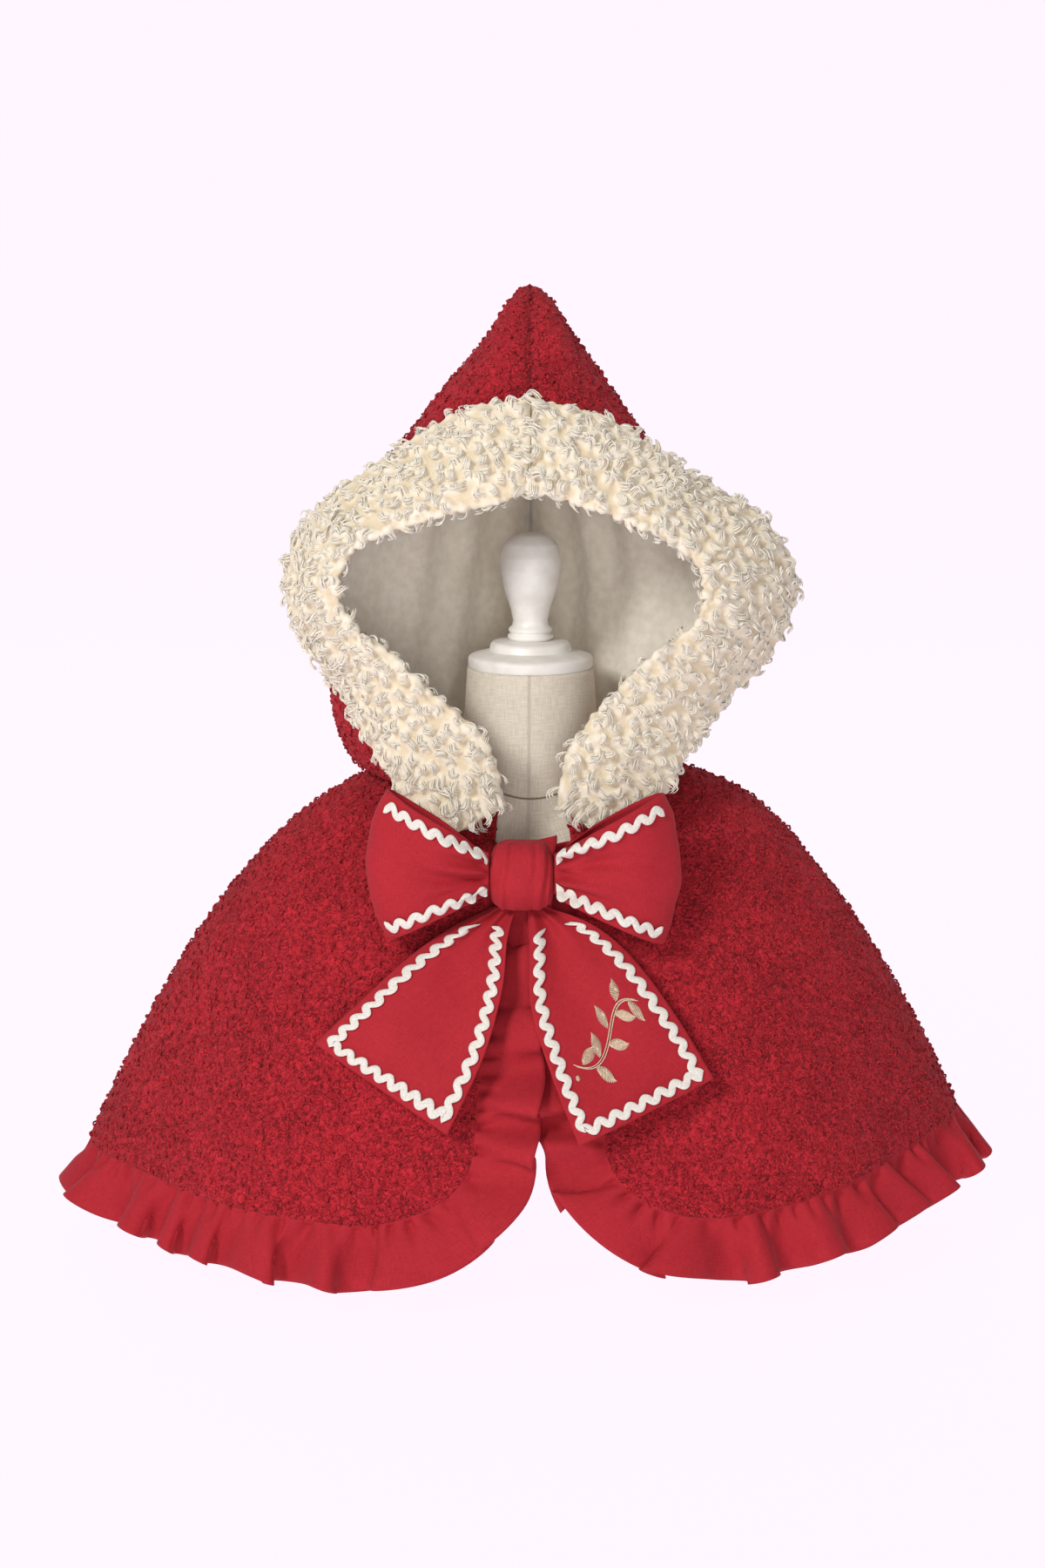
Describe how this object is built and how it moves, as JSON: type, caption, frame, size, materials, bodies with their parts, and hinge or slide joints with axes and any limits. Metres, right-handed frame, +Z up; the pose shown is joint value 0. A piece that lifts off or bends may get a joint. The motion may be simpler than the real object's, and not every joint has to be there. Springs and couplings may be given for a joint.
{
  "type": "hooded wool cape on a limbless dress form",
  "caption": "Toddler's hooded wool cape with pointed hood, fur-edged face opening, gathered frill and big front bow, on a linen dress form with short feet.",
  "frame": {"origin": "middle of the underside of the box round the whole part, on the ground under the form", "axes": "+Z up, the front of the cape faces -Y, +X to the viewer's right"},
  "size_m": [0.5986, 0.367, 0.603],
  "materials": {
    "wool_boucle": "curly wool boucle, matt, deep red",
    "plain_red_cloth": "plain weave cotton, matt, red",
    "fur_trim": "curly cream sheepskin-like pile",
    "hood_lining": "smooth cream brushed lining",
    "wavy_braid": "ivory woven wavy braid",
    "form_linen": "natural linen, plain weave",
    "painted_wood": "turned wood, satin white paint"
  },
  "bodies": {
    "root": {"cape_front_right": "wool_boucle", "cape_front_left": "wool_boucle", "cape_back": "wool_boucle", "hood_right": "wool_boucle", "hood_left": "wool_boucle", "frill_front_right": "plain_red_cloth", "frill_front_left": "plain_red_cloth", "frill_back": "plain_red_cloth", "hood_lining_right": "hood_lining", "hood_lining_left": "hood_lining", "fur_band_right": "fur_trim", "fur_band_left": "fur_trim", "bow_loop_right": "plain_red_cloth", "bow_loop_left": "plain_red_cloth", "bow_knot": "plain_red_cloth", "bow_tail_right": "plain_red_cloth", "bow_tail_left": "plain_red_cloth", "braid_loop_right_top": "wavy_braid", "braid_loop_right_bottom": "wavy_braid", "braid_loop_left_top": "wavy_braid", "braid_loop_left_bottom": "wavy_braid", "braid_tail_right": "wavy_braid", "braid_tail_left": "wavy_braid", "form_torso": "form_linen", "form_neck_cap": "painted_wood", "form_finial": "painted_wood", "foot_front_right": "painted_wood", "foot_front_left": "painted_wood", "foot_back_right": "painted_wood", "foot_back_left": "painted_wood"}
  },
  "joints": []
}
